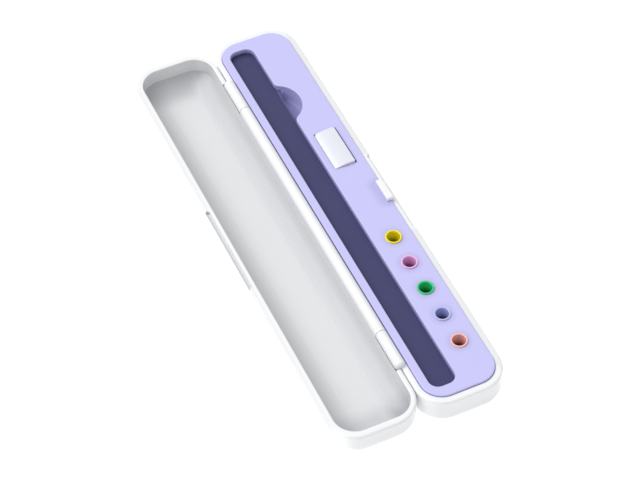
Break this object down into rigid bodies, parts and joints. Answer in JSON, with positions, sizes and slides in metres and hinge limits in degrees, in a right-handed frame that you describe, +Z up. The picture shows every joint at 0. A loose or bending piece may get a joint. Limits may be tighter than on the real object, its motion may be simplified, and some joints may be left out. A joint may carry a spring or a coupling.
{
  "type": "toothbrush sanitizer travel case",
  "caption": "Slim hinged travel case that holds and sanitises a toothbrush, with a lit channel, a pressed key, a catch and a row of small round sockets.",
  "frame": {"origin": "centre of the open case's footprint, on the surface it lies on, below the hinge axis", "axes": "+X from the hinge towards the base's front, +Y along the case towards the charging port, +Z up"},
  "size_m": [0.0736, 0.21, 0.0156],
  "materials": {
    "white_shell": "satin moulded",
    "lavender_deck": "satin moulded",
    "smoked_window": "smoked, polished",
    "key_white": "satin",
    "yellow_cup": "glossy",
    "pink_cup": "glossy",
    "green_cup": "glossy",
    "blue_cup": "glossy",
    "coral_cup": "glossy",
    "steel": "bright",
    "board_green": "solder mask",
    "led_ceramic": "ceramic package",
    "black_plastic": "moulded",
    "cell_foil": "laminated foil",
    "foam": "foam tape",
    "red_wire": "insulation",
    "magnet_nickel": "nickel plated"
  },
  "bodies": {
    "base": {"base_shell": "white_shell", "deck_tray": "lavender_deck", "channel_window": "smoked_window", "socket_yellow": "yellow_cup", "socket_pink": "pink_cup", "socket_green": "green_cup", "socket_blue": "blue_cup", "socket_coral": "coral_cup", "key_pin": "steel", "latch_pin": "steel", "latch_spring": "steel", "hinge_pins": "steel", "led_board": "board_green", "uv_leds": "led_ceramic", "main_board": "board_green", "key_switch": "black_plastic", "hall_sensor": "black_plastic", "board_screws": "steel", "battery_cell": "cell_foil", "battery_pad": "foam", "port_board": "board_green", "usb_port": "steel", "battery_leads": "red_wire", "led_leads": "red_wire", "port_lead": "red_wire"},
    "lid": {"lid_shell": "white_shell", "lid_magnet": "magnet_nickel"},
    "key": {"power_key": "key_white"},
    "catch": {"latch_catch": "white_shell"}
  },
  "joints": [
    {"name": "lid_hinge", "type": "hinge", "parent": "base", "child": "lid", "pos_m": [0, 0, 0.0131], "axis": [0, 1, 0], "range_deg": [0, 180]},
    {"name": "key_press", "type": "hinge", "parent": "base", "child": "key", "pos_m": [0.0214, 0.02895, 0.0112], "axis": [0, 1, 0], "range_deg": [0, 2.5], "stiffness_Nm_per_rad": 0.35},
    {"name": "catch_rock", "type": "hinge", "parent": "base", "child": "catch", "pos_m": [0.0321, -0.0007, 0.005], "axis": [0, 1, 0], "range_deg": [-4.8, 0], "stiffness_Nm_per_rad": 0.35, "deforming": ["latch_spring"]}
  ]
}
